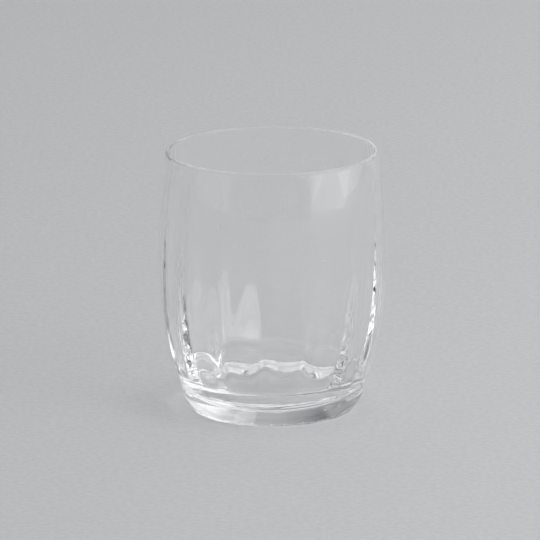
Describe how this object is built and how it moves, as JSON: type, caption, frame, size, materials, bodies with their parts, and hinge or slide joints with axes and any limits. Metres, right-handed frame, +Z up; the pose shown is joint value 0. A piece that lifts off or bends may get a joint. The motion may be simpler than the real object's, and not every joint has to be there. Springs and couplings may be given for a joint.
{
  "type": "seltzer glass",
  "caption": "Clear barrel-shaped drinking glass: a thin-rimmed blown bowl, smooth outside and softly fluted inside, fused to a thick round foot with a flat underside.",
  "frame": {"origin": "on the glass's axis, in the plane of the foot's underside", "axes": "+Z up along the axis from foot to rim; -Y faces the viewer of the reference picture, +X to their right"},
  "size_m": [0.0814, 0.0814, 0.095],
  "materials": {
    "bowl_glass": "fire-polished clear glass",
    "foot_glass": "clear glass, underside ground and polished flat"
  },
  "bodies": {
    "root": {"bowl": "bowl_glass", "foot": "foot_glass"}
  },
  "joints": []
}
